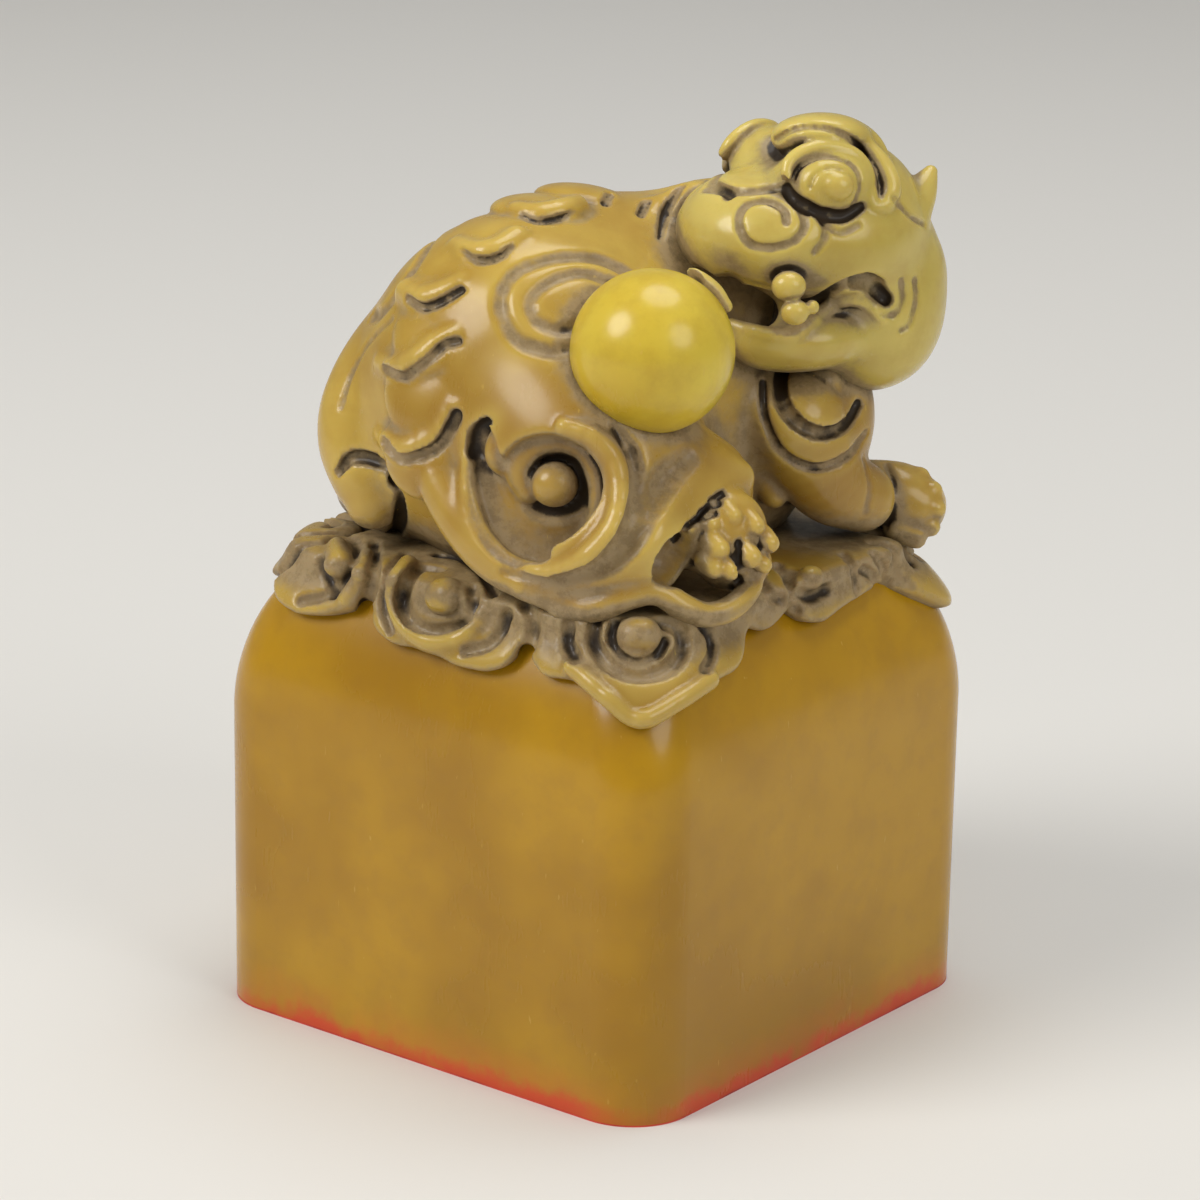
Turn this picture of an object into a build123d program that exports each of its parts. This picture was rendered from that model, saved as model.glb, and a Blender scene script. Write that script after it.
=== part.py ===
from build123d import *
import math
import os

os.makedirs("parts", exist_ok=True)

# Stone seal with a guardian beast carved on its crown. Millimetres, +Z up.
# The origin is the middle of the sealing face. The beast lies along Y with its rump toward -Y,
# its near side toward +X, and its head turned back over the near shoulder.

# Block
block_side = 32.0
block_corner_radius = 3.7
wall_height = 17.5
shoulder_rise = 9.5
shoulder_inset = 5.5
crown_height = wall_height + shoulder_rise

# Sealing face
face_depth = 0.7
face_border = 1.3
paste_thickness = 0.1
fret_line = 1.3

# Cloud collar
collar_thickness = 0.8
collar_drop = 4.4
scroll_reach = 5.2
scroll_line = 0.9
scroll_height = 1.0
scroll_stand_angle = 58.0

# Beast: places on it are shares of the height of its back over the crown
back_height = 20.0
trunk_width = 19.6
trunk_height = 20.6
chest_length = 12.6
chest_width = 21.0
chest_height = 15.0
haunch_length = 13.6
haunch_width = 14.0
haunch_height = 13.4
haunch_volute_reach = 10.8
haunch_volute_line = 2.2
shoulder_volute_reach = 7.2
shoulder_volute_line = 1.6
shoulder_length = 9.6
shoulder_width = 8.8
shoulder_height = 11.0
volute_depth = 3.6
volute_proud = 0.9
hind_foot_girth = 4.6
shank_girth = 2.6
foreleg_girth = 6.0
paw_length = 5.4
paw_width = 4.4
paw_height = 4.0
tail_girth = 6.2
tail_lobe_width = 5.2
tail_lobe_thickness = 2.6
side_lock_girth = 2.6
scale_length = 5.6
scale_width = 5.2
scale_height = 2.2
neck_girth = 10.0
pearl_diameter = 8.9

# Head: places on it are shares of its length, measured from its middle
head_length = 12.5
head_turn = 22.0
skull_width = 11.8
skull_height = 11.8
muzzle_length = 10.6
muzzle_width = 10.4
muzzle_height = 6.8
jowl_length = 8.0
jowl_width = 10.6
jowl_height = 9.6
jaw_length = 9.6
jaw_width = 9.0
jaw_height = 2.6
tongue_width = 4.0
tongue_thickness = 1.0
fang_girth = 1.6
nostril_width = 4.2
nostril_depth = 2.6
eye_width = 3.6
eye_depth = 3.0
brow_girth = 1.8
temple_curl_girth = 2.2
ear_girth = 2.6
crest_length = 6.6
crest_width = 6.2
crest_height = 3.4

# Angles of the sections that round off a dome, and the least share of a form that is kept
dome_angles = (34.0, 66.0)
chip_share = 0.06

# Each half circle of a scroll is this much of its line smaller than the one before
winding_share = 0.75

head_place_share = (0.49, 0.395, 0.948)

roughed_out = []


def spot(x_share, y_share, z_share):
    """A place on the beast, given in shares of its back height from the middle of the crown."""
    height = crown_height + z_share * back_height
    return Vector(x_share * back_height, y_share * back_height, height)


def oval(place, heading, up, half_width, half_height):
    """One oval section of a form, square to its heading, with its width across the up direction."""
    across = heading.cross(up).normalized()
    section = Plane(origin=place, x_dir=across, z_dir=heading)
    return (section * Ellipse(half_width, half_height)).face()


def rounded(stations, heading, up, reach):
    """A form lofted through stations of (place, half width, half height), domed at both ends."""
    places = [station[0] for station in stations]
    headings = [heading] * len(places)
    if len(places) > 1:
        ends = [places[0]] + places + [places[-1]]
        headings = [(ends[i + 2] - ends[i]).normalized() for i in range(len(places))]
    first, last = stations[0], stations[-1]
    sections = []
    for angle in reversed(dome_angles):
        turn = math.radians(angle)
        place = first[0] - headings[0] * reach[0] * math.sin(turn)
        shrink = math.cos(turn)
        sections.append(oval(place, headings[0], up, first[1] * shrink, first[2] * shrink))
    for (place, half_width, half_height), toward in zip(stations, headings):
        sections.append(oval(place, toward, up, half_width, half_height))
    for angle in dome_angles:
        turn = math.radians(angle)
        place = last[0] + headings[-1] * reach[1] * math.sin(turn)
        shrink = math.cos(turn)
        sections.append(oval(place, headings[-1], up, last[1] * shrink, last[2] * shrink))
    return loft(sections, ruled=True)


def egg(place, length, width, height, heading=Vector(0, 1, 0), up=Vector(0, 0, 1)):
    """An egg-shaped form about its middle."""
    station = (place, width / 2, height / 2)
    return rounded([station], heading, up, (length / 2, length / 2))


def limb(stations_share, width, height, up=Vector(0, 0, 1), where=spot, domes_share=(1, 1)):
    """A limb through stations of a place and a share of the limb's full width and height."""
    stations = []
    for *place, girth in stations_share:
        stations.append((where(*place), width / 2 * girth, height / 2 * girth))
    ends = [min(stations[end][1:]) * share for end, share in zip((0, -1), domes_share)]
    return rounded(stations, None, up, ends)


def winding_band(reach, line):
    """A scroll of half circles drawn with a flat pen, each smaller than the one before."""
    radius = (reach - line) / 2
    middle = 0
    side = 1
    arcs = []
    while radius > line / 2:
        start, end = middle - side * radius, middle + side * radius
        arcs.append(ThreePointArc((start, 0), (middle, side * radius), (end, 0)))
        radius -= line * winding_share
        middle = end - side * radius
        side = -side
    return trace(arcs, line)


def clear(first, second):
    """Whether two boxes stand clear of each other."""
    spans = zip(first.min, first.max, second.min, second.max)
    return any(low > other_high or other_low > high for low, high, other_low, other_high in spans)


def apart(form, others):
    """The solids left of a form beside the others, without loose chips."""
    solids = form.solids()
    box = form.bounding_box()
    for other, other_box in others:
        if not clear(box, other_box):
            solids = [left for solid in solids for left in solid.cut(other).solids()]
    largest = max(solid.volume for solid in solids)
    return [solid for solid in solids if solid.volume > largest * chip_share]


def carve(name, *forms):
    """Carve forms back to the ones roughed out before them and write them as one node."""
    solids = []
    for form in forms:
        solids.extend(apart(form, roughed_out))
        roughed_out.append((form, form.bounding_box()))
    export_step(solids[0] if len(solids) == 1 else Compound(children=solids), f"parts/{name}.step")


def far(form):
    """The same form on the far side of the beast's middle plane."""
    return mirror(form, about=Plane.YZ)


def cushion(half, radius, inset, rise):
    """A square block with rounded corners, straight walls and an elliptical shoulder."""
    wall = extrude(RectangleRounded(2 * half, 2 * half, radius), wall_height)
    sections = []
    for angle in shoulder_angles:
        turn = math.radians(angle)
        side = 2 * (half - inset * (1 - math.cos(turn)))
        level = Plane.XY.offset(wall_height + rise * math.sin(turn))
        sections.append((level * RectangleRounded(side, side, radius)).face())
    return wall + loft(sections)


# Seal block: a cushion-topped square with its sealing face sunk inside a border
shoulder_angles = (0, 20, 40, 58, 74, 90)
half_side = block_side / 2
block_form = cushion(half_side, block_corner_radius, shoulder_inset, shoulder_rise)
sunk_side = block_side - 2 * face_border
sunk_radius = block_corner_radius - face_border
face_sink = extrude(RectangleRounded(sunk_side, sunk_side, sunk_radius), face_depth)
block_base = Box(block_side, block_side, paste_thickness, align=(Align.CENTER, Align.CENTER, Align.MIN))
carve("seal_block", block_form - face_sink - block_base)


# Seal relief: a four-fold square fret in the sunk face, the generic device that prints
fret_share = ((0.0, 0.42), (0.0, 0.82), (0.82, 0.82), (0.82, 0.0), (0.42, 0.0), (0.42, 0.42))


def fret_arm():
    """One quarter of the fret, a square hook drawn with a flat pen."""
    half = sunk_side / 2
    points = [(x * half, y * half) for x, y in fret_share]
    return trace(Polyline(*points), fret_line)


fret = Sketch() + [Rot(0, 0, turn) * fret_arm() for turn in (0, 90, 180, 270)]
relief_height = face_depth - paste_thickness
carve("seal_face_relief", *(Pos(0, 0, paste_thickness) * extrude(fret, relief_height)).solids())


# Dried red paste: a film under the border and the relief
border = RectangleRounded(block_side, block_side, block_corner_radius)
border = border - RectangleRounded(sunk_side, sunk_side, sunk_radius)
carve("seal_paste_film", *extrude(border, paste_thickness).solids(), *extrude(fret, paste_thickness).solids())


# Cloud collar: a shell over the shoulder, its lower edge cut in lobes that hang lowest at the corners
# Each lobe is start, lowest and end place: shares of the collar's half side and of its drop
front_lobes_share = (
    ((-1.0, 0.91), (-0.87, 0.80), (-0.70, 0.50)),
    ((-0.70, 0.50), (-0.57, 0.68), (-0.39, 0.48)),
    ((-0.31, 0.45), (-0.15, 0.75), (0.01, 0.69)),
    ((0.01, 0.69), (0.20, 0.82), (0.38, 0.56)),
    ((0.41, 0.57), (0.54, 0.69), (0.67, 0.59)),
    ((0.67, 0.59), (0.79, 0.81), (1.0, 1.0)),
)
side_lobes_share = (
    ((-1.0, 1.0), (-0.78, 0.79), (-0.45, 0.66)),
    ((-0.45, 0.66), (-0.39, 0.58), (-0.34, 0.46)),
    ((-0.30, 0.37), (-0.22, 0.42), (-0.12, 0.30)),
    ((-0.06, 0.32), (0.07, 0.57), (0.21, 0.41)),
    ((0.21, 0.41), (0.35, 0.43), (0.48, 0.33)),
    ((0.51, 0.37), (0.70, 0.72), (1.0, 1.0)),
)
crevice_rise_share = 0.30


def lobed_edge(lobes_share):
    """The region over a lobed edge, with a crevice where one lobe stops short of the next."""
    half = half_side + collar_thickness
    lines = []
    last = None
    for lobe in lobes_share:
        start, low, end = [(x * half, crown_height - drop * collar_drop) for x, drop in lobe]
        if last and last != start:
            peak = ((last[0] + start[0]) / 2, max(last[1], start[1]) + crevice_rise_share * collar_drop)
            lines += Polyline(last, peak, start).edges()
        lines.append(ThreePointArc(start, low, end))
        last = end
    first = (lobes_share[0][0][0] * half, crown_height - lobes_share[0][0][1] * collar_drop)
    top = crown_height + 2 * collar_thickness
    lines += Polyline(last, (half, top), (-half, top), first).edges()
    return make_face(lines)


collar_span = block_side + 4 * collar_thickness
collar_form = cushion(
    half_side + collar_thickness,
    block_corner_radius + collar_thickness,
    shoulder_inset,
    shoulder_rise + collar_thickness,
)
front_cut = extrude(Plane.XZ * lobed_edge(front_lobes_share), collar_span / 2, both=True)
side_cut = extrude(Plane.YZ * lobed_edge(side_lobes_share), collar_span / 2, both=True)
carve("cloud_collar", collar_form & front_cut & side_cut)

# The beast stands on the whole cushion that the collar is cut from
roughed_out = [(collar_form.solid(), collar_form.bounding_box())]


def scroll(turn, out, along):
    """One scroll lying on the collar's shoulder, turned about Z and shifted along its face."""
    stand = math.radians(scroll_stand_angle)
    rise = shoulder_rise + collar_thickness
    height = wall_height + rise * math.sin(stand)
    tilt = math.degrees(math.atan2(math.cos(stand) / shoulder_inset, math.sin(stand) / rise))
    band = extrude(winding_band(scroll_reach, scroll_line), scroll_height / 2, both=True)
    return Rot(0, 0, turn) * Pos(along, -out, height) * Rot(tilt, 0, 0) * band


scroll_inset = shoulder_inset * (1 - math.cos(math.radians(scroll_stand_angle)))
face_out = half_side + collar_thickness - scroll_inset
corner_radius = block_corner_radius + collar_thickness
corner_out = math.sqrt(2) * (face_out - corner_radius) + corner_radius


# Pearl: the ball held between the haunch, the back and the jaws
pearl_share = (0.47, -0.395, 0.71)
carve("pearl", Pos(*spot(*pearl_share)) * Sphere(pearl_diameter / 2))

# Trunk: sections across the back from the rump to the chest
trunk_share = (
    (-0.09, -0.34, 0.50, 0.95),
    (-0.06, -0.05, 0.50, 0.95),
    (-0.02, 0.25, 0.48, 0.88),
    (0.01, 0.42, 0.44, 0.78),
)
trunk_domes_share = (0.78, 0.60)
carve("beast_trunk", limb(trunk_share, trunk_width, trunk_height, domes_share=trunk_domes_share))

# Haunches: a broad egg each side of the rump
haunch_share = (0.22, -0.38, 0.29)
haunch_form = egg(spot(*haunch_share), haunch_length, haunch_width, haunch_height)
carve("near_haunch", haunch_form)
carve("far_haunch", far(haunch_form))

# Chest: the shoulders and breast, one broad egg across the front
chest_share = (0.06, 0.33, 0.34)
carve("chest", egg(spot(*chest_share), chest_length, chest_width, chest_height))

# Shoulders: a rounded form over each foreleg
shoulder_share = (0.46, 0.23, 0.40)
shoulder_form = egg(spot(*shoulder_share), shoulder_length, shoulder_width, shoulder_height)
carve("near_shoulder", shoulder_form)
carve("far_shoulder", far(shoulder_form))

# Hind feet: the heel lies along the collar and the toes point forward
near_hind_foot_share = (
    (0.10, -0.69, 0.16, 0.85),
    (0.38, -0.675, 0.10, 1.0),
    (0.61, -0.57, 0.12, 1.0),
    (0.68, -0.40, 0.20, 1.05),
)
far_hind_foot_share = (
    (-0.40, -0.50, 0.14, 0.85),
    (-0.56, -0.42, 0.12, 1.0),
    (-0.66, -0.25, 0.16, 1.0),
    (-0.67, -0.12, 0.20, 1.0),
)
carve("near_hind_foot", limb(near_hind_foot_share, hind_foot_girth, hind_foot_girth))
carve("far_hind_foot", limb(far_hind_foot_share, hind_foot_girth, hind_foot_girth))

# Near shank: a fold that sweeps from under the haunch up to the knee
near_shank_share = (
    (0.40, -0.665, 0.085, 0.9),
    (0.51, -0.595, 0.125, 1.0),
    (0.56, -0.47, 0.235, 1.0),
    (0.595, -0.25, 0.345, 0.95),
)
carve("near_shank", limb(near_shank_share, shank_girth, shank_girth))

# Forelegs: from the shoulder out to the front corners
foreleg_share = ((0.50, 0.12, 0.24, 1.0), (0.62, 0.28, 0.20, 0.92), (0.66, 0.44, 0.17, 0.78))
foreleg_form = limb(foreleg_share, foreleg_girth, foreleg_girth)
carve("near_foreleg", foreleg_form)
carve("far_foreleg", far(foreleg_form))

# Fore paws
fore_paw_share = (0.685, 0.555, 0.14)
paw_form = egg(spot(*fore_paw_share), paw_length, paw_width, paw_height)
carve("near_fore_paw", paw_form)
carve("far_fore_paw", far(paw_form))

# Tail: a long lock down the far side, a flat lobe in the middle and a small lock toward the haunch
tail_lock_share = (
    (-0.33, -0.41, 0.72, 0.64),
    (-0.42, -0.44, 0.56, 0.82),
    (-0.43, -0.50, 0.40, 0.90),
    (-0.40, -0.56, 0.28, 0.80),
    (-0.33, -0.62, 0.205, 0.55),
)
tail_lobe_share = (
    (-0.125, -0.59, 0.85, 0.8),
    (-0.115, -0.68, 0.70, 1.0),
    (-0.095, -0.71, 0.52, 0.8),
    (-0.08, -0.72, 0.40, 0.4),
)
side_lock_share = ((0.015, -0.71, 0.50, 0.7), (0.10, -0.70, 0.42, 1.0), (0.17, -0.67, 0.43, 0.9))
rearward = Vector(0, 1, 0)
carve("tail_lock", limb(tail_lock_share, tail_girth, tail_girth, rearward))
carve("tail_lobe", limb(tail_lobe_share, tail_lobe_width, tail_lobe_thickness, rearward))
carve("side_lock", limb(side_lock_share, side_lock_girth, side_lock_girth, rearward))

# Volutes: the curls carved on the haunches and shoulders
near_volute_share = (0.345, -0.625, 0.36)
far_volute_share = (-0.595, -0.35, 0.35)
shoulder_volute_share = (0.60, 0.13, 0.50)
near_volute_facing = Vector(0.45, -0.88, 0.12)
far_volute_facing = Vector(-0.93, -0.30, 0.15)
shoulder_volute_facing = Vector(0.75, -0.65, 0)


def volute(place_share, facing, reach, line):
    """A winding band sunk into the form that it lies on, facing outward."""
    plane = Plane(origin=spot(*place_share), z_dir=facing).offset(volute_proud)
    return plane * extrude(winding_band(reach, line), -volute_depth)


near_volute = volute(near_volute_share, near_volute_facing, haunch_volute_reach, haunch_volute_line)
far_volute = volute(far_volute_share, far_volute_facing, haunch_volute_reach, haunch_volute_line)
shoulder_volute = volute(
    shoulder_volute_share, shoulder_volute_facing, shoulder_volute_reach, shoulder_volute_line
)
carve("near_haunch_volute", near_volute)
carve("far_haunch_volute", far_volute)
carve("near_shoulder_volute", shoulder_volute)
carve("far_shoulder_volute", far(shoulder_volute))

# Head: modelled square to its own middle plane, then turned and set on the neck
def head_spot(side_share, back_share, up_share):
    """A place on the head: toward its near side, toward its back, and up, in shares of its length."""
    return Vector(side_share, back_share, up_share) * head_length


head_place = Pos(*spot(*head_place_share)) * Rot(0, 0, -head_turn)


def on_head(form):
    """A form of the head, turned and set on the neck."""
    return head_place * form


def paired(form):
    """A form and its mirror across the head's middle plane, set on the neck."""
    return [on_head(form), on_head(mirror(form, about=Plane.YZ))]


carve("skull", on_head(egg(head_spot(0, 0.03, 0.02), head_length, skull_width, skull_height)))
carve("muzzle", on_head(egg(head_spot(0, -0.34, 0.01), muzzle_length, muzzle_width, muzzle_height)))
carve("jowl", on_head(egg(head_spot(0, 0.20, -0.38), jowl_length, jowl_width, jowl_height)))
carve("lower_jaw", on_head(egg(head_spot(0, -0.20, -0.47), jaw_length, jaw_width, jaw_height)))
# Neck: from the shoulders up to the turned head
neck_share = ((0.06, 0.28, 0.70, 1.0), (0.33, 0.44, 0.88, 1.0))
carve("neck_mane", limb(neck_share, neck_girth, neck_girth))

tongue_share = ((0.08, -0.25, -0.36, 1.0), (0.04, -0.42, -0.35, 1.0), (-0.01, -0.58, -0.31, 0.7))
carve("tongue", on_head(limb(tongue_share, tongue_width, tongue_thickness, where=head_spot)))
upper_fang_share = ((0.29, -0.44, -0.20, 1.0), (0.30, -0.45, -0.27, 0.8))
lower_fang_share = ((0.31, -0.43, -0.44, 0.8), (0.31, -0.44, -0.36, 0.8))
upper_fang = limb(upper_fang_share, fang_girth, fang_girth, rearward, head_spot)
lower_fang = limb(lower_fang_share, fang_girth, fang_girth, rearward, head_spot)
carve("near_fangs", on_head(upper_fang), on_head(lower_fang))
nostril_facing = Vector(0.45, -0.85, 0.25).normalized()
nostril_form = egg(head_spot(0.25, -0.52, 0.11), nostril_depth, nostril_width, nostril_width, nostril_facing)
carve("nostril_curls", *paired(nostril_form))
eye_facing = Vector(0.75, -0.50, 0.40).normalized()
eye_form = egg(head_spot(0.33, -0.22, 0.27), eye_depth, eye_width, eye_width, eye_facing)
carve("eyes", *paired(eye_form))
brow_share = (
    (0.18, -0.36, 0.34, 0.8),
    (0.31, -0.30, 0.43, 1.0),
    (0.43, -0.13, 0.42, 1.0),
    (0.45, 0.0, 0.33, 0.7),
)
carve("brows", *paired(limb(brow_share, brow_girth, brow_girth, where=head_spot)))
temple_share = ((0.38, 0.0, 0.32, 0.6), (0.40, 0.09, 0.24, 1.0), (0.41, 0.03, 0.15, 0.7))
carve("temple_curls", *paired(limb(temple_share, temple_curl_girth, temple_curl_girth, rearward, head_spot)))
ear_share = ((0.28, 0.24, 0.22, 1.0), (0.31, 0.29, 0.33, 0.8), (0.33, 0.33, 0.42, 0.4))
carve("ears", *paired(limb(ear_share, ear_girth, ear_girth, rearward, head_spot)))
carve("crest", on_head(egg(head_spot(0.02, -0.06, 0.42), crest_length, crest_width, crest_height)))

# Spine scales: overlapping scales down the back, each pitched like the slope that it lies on
scale_share = (
    (-0.10, 0.03, 1.01, 2),
    (-0.10, -0.16, 1.01, -1),
    (-0.11, -0.34, 0.995, -8),
    (-0.12, -0.51, 0.935, -30),
    (-0.12, -0.65, 0.79, -58),
)


def scale(x_share, y_share, z_share, pitch):
    """One scale, a flat egg pitched toward the rump."""
    heading = Vector(0, math.cos(math.radians(pitch)), -math.sin(math.radians(pitch)))
    return egg(spot(x_share, y_share, z_share), scale_length, scale_width, scale_height, heading)


carve("spine_scales", *(scale(*row) for row in scale_share))

# Scrolls on the collar, one on each face and one on each corner
carve("face_cloud_scrolls", *(scroll(turn, face_out, -scroll_line) for turn in (0, 90, 180, 270)))
carve("corner_cloud_scrolls", *(scroll(turn, corner_out, 0) for turn in (45, 135, 225, 315)))
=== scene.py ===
import math
from copy import copy

import bpy
import numpy as np
import openvdb
from mathutils import Matrix, Vector


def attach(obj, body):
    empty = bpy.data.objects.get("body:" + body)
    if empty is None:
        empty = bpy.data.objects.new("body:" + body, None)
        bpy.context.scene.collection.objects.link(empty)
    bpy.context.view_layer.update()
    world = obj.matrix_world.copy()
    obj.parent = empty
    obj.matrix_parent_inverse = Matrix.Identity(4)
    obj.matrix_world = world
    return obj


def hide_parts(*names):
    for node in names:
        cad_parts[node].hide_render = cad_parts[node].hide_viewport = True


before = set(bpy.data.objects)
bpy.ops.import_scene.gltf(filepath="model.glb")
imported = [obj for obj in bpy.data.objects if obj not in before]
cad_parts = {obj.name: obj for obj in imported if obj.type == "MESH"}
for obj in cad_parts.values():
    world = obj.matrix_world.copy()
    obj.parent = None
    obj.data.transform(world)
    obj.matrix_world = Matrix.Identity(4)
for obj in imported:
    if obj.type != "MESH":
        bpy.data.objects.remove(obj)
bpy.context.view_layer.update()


# Seal block: a squared piece of honey-coloured soapstone with rounded corners and shoulders, sawn and
# ground flat, then polished and waxed. It keeps the shape of the solid and is dressed in stone here.

def add_socket(group, name, way, kind="NodeSocketFloat"):
    """One named socket on a shader node group."""
    group.interface.new_socket(name=name, in_out=way, socket_type=kind)


class Bench:
    """Nodes of one tree, laid from left to right as they are made."""

    def __init__(self, tree):
        self.tree = tree
        self.column = 0

    def node(self, kind, **settings):
        """A node with its settings, where in_Name sets the socket of that name."""
        made = self.tree.nodes.new(kind)
        made.location = (180 * self.column, 0)
        self.column += 1
        for name, value in settings.items():
            if name.startswith("in_"):
                made.inputs[name[3:].replace("_", " ")].default_value = value
            else:
                setattr(made, name, value)
        return made

    def link(self, start, end):
        self.tree.links.new(start, end)

    def feed(self, socket, value):
        """A number or colour set on the socket, or another node led to it."""
        if isinstance(value, (int, float, tuple)):
            socket.default_value = value
        else:
            self.link(value, socket)

    def math(self, operation, *values, clamp=False):
        made = self.node("ShaderNodeMath", operation=operation, use_clamp=clamp)
        for socket, value in zip(made.inputs, values):
            self.feed(socket, value)
        return made.outputs[0]

    def plus(self, first, second):
        return self.math("ADD", first, second)

    def less(self, first, second):
        return self.math("SUBTRACT", first, second)

    def times(self, first, second):
        return self.math("MULTIPLY", first, second)

    def swayed(self, value, noise, share):
        """The value moved up and down by a share of the noise."""
        return self.plus(value, self.times(self.less(noise, 0.5), share))

    def between(self, value, low, high):
        """0 below low, 1 above high, soft in between."""
        made = self.node("ShaderNodeMapRange", interpolation_type="SMOOTHSTEP", in_From_Min=low,
                         in_From_Max=high)
        self.link(value, made.inputs["Value"])
        return made.outputs["Result"]

    def noise(self, place, scale, detail, roughness):
        made = self.node("ShaderNodeTexNoise", in_Scale=scale, in_Detail=detail, in_Roughness=roughness)
        self.link(place, made.inputs["Vector"])
        return made.outputs["Fac"]

    def mix(self, share, first, second):
        made = self.node("ShaderNodeMix", data_type="RGBA")
        for place, value in ((0, share), (6, first), (7, second)):
            self.feed(made.inputs[place], value)
        return made.outputs[2]


def colour(red, green, blue):
    """A colour on the usual 0 to 255 scale, as light."""
    def light(part):
        part /= 255
        return part / 12.92 if part <= 0.04045 else ((part + 0.055) / 1.055) ** 2.4
    return (light(red), light(green), light(blue), 1.0)


def stone_group():
    """Waxed soapstone: clouded honey colour, dust with painted shade in the hollows, rubbed high places,
    fine scratches.
    """
    group = bpy.data.node_groups.new("waxed_soapstone", "ShaderNodeTree")
    for name in ("Light Stone", "Deep Stone"):
        add_socket(group, name, "INPUT", "NodeSocketColor")
    for name in ("Hollow", "Groove", "High Place", "Brown Below"):
        add_socket(group, name, "INPUT")
    add_socket(group, "Color", "OUTPUT", "NodeSocketColor")
    add_socket(group, "Roughness", "OUTPUT")
    add_socket(group, "Height", "OUTPUT")
    b = Bench(group)
    given = b.node("NodeGroupInput")
    place = b.node("ShaderNodeTexCoord").outputs["Object"]
    broad = b.noise(place, 90.0, 3.0, 0.5)
    cloud = b.between(broad, 0.30, 0.72)
    fine = b.between(b.noise(place, 520.0, 5.0, 0.62), 0.4, 0.72)
    stone = b.mix(cloud, given.outputs["Light Stone"], given.outputs["Deep Stone"])
    speck = b.times(fine, 0.22)
    stone = b.mix(speck, stone, colour(150, 108, 30))
    split = b.node("ShaderNodeSeparateXYZ")
    b.link(place, split.inputs[0])
    depth = b.less(given.outputs["Brown Below"], split.outputs["Z"])
    depth = b.swayed(depth, broad, 0.02)
    stone = b.mix(b.times(b.between(depth, 0.0, 0.012), 0.45), stone, colour(150, 108, 48))
    rubbed = b.times(given.outputs["High Place"], 0.35)
    stone = b.mix(rubbed, stone, colour(228, 204, 112))
    grain = b.noise(place, 1500.0, 6.0, 0.7)
    # dust colour laid on the hollow and groove layers, so it is partly real dust and partly painted shade
    shade_and_dust_catch = b.plus(b.times(given.outputs["Hollow"], 0.85), b.times(given.outputs["Groove"], 0.45))
    dust_and_shade = b.between(b.swayed(shade_and_dust_catch, grain, 0.5), 0.12, 0.60)
    grit = b.between(b.noise(place, 900.0, 4.0, 0.75), 0.42, 0.60)
    dust = b.mix(b.times(grit, 0.42), colour(158, 137, 102), colour(94, 74, 46))
    stone = b.mix(b.times(dust_and_shade, 0.88), stone, dust)
    # painted shade: near-black in the deepest hollows, with packed dust
    deep_crevice_shade_and_dust = b.between(b.swayed(shade_and_dust_catch, grain, 0.3), 0.76, 1.06)
    stone = b.mix(deep_crevice_shade_and_dust, stone, colour(50, 37, 20))
    nick_place = b.node("ShaderNodeMapping", in_Scale=(1.0, 1.0, 0.3), in_Rotation=(0.7, 0.5, 0.2))
    b.link(place, nick_place.inputs["Vector"])
    nick = b.between(b.noise(nick_place.outputs[0], 3200.0, 1.5, 0.5), 0.74, 0.80)
    stone = b.mix(b.times(nick, 0.38), stone, colour(212, 178, 84))
    out = b.node("NodeGroupOutput")
    b.link(stone, out.inputs["Color"])
    streak_place = b.node("ShaderNodeMapping", in_Scale=(1.0, 1.0, 0.16), in_Rotation=(0.5, 0.3, 0.9))
    b.link(place, streak_place.inputs["Vector"])
    streak = b.noise(streak_place.outputs[0], 2600.0, 3.0, 0.5)
    shine = b.plus(0.18, b.times(broad, 0.14))
    shine = b.plus(shine, b.times(streak, 0.02))
    rough = b.math("ADD", shine, b.times(dust_and_shade, 0.34), clamp=True)
    b.link(rough, out.inputs["Roughness"])
    height = b.plus(b.times(broad, 0.6), b.times(streak, 0.03))
    height = b.plus(height, b.times(b.times(grain, dust_and_shade), 0.9))
    b.link(height, out.inputs["Height"])
    return group


stone_looks = stone_group()


def fresh_material(name):
    """A material with nothing in it yet, and the bench that lays its nodes."""
    material = bpy.data.materials.new(name)
    material.use_nodes = True
    material.node_tree.nodes.clear()
    return material, Bench(material.node_tree)


def finish_surface(b, shader, height, strength, distance):
    """Fine relief from a height, and the shader led to the material's output."""
    bump = b.node("ShaderNodeBump", in_Strength=strength, in_Distance=distance)
    b.link(height, bump.inputs["Height"])
    b.link(bump.outputs[0], shader.inputs["Normal"])
    b.link(shader.outputs[0], b.node("ShaderNodeOutputMaterial").inputs["Surface"])


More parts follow.
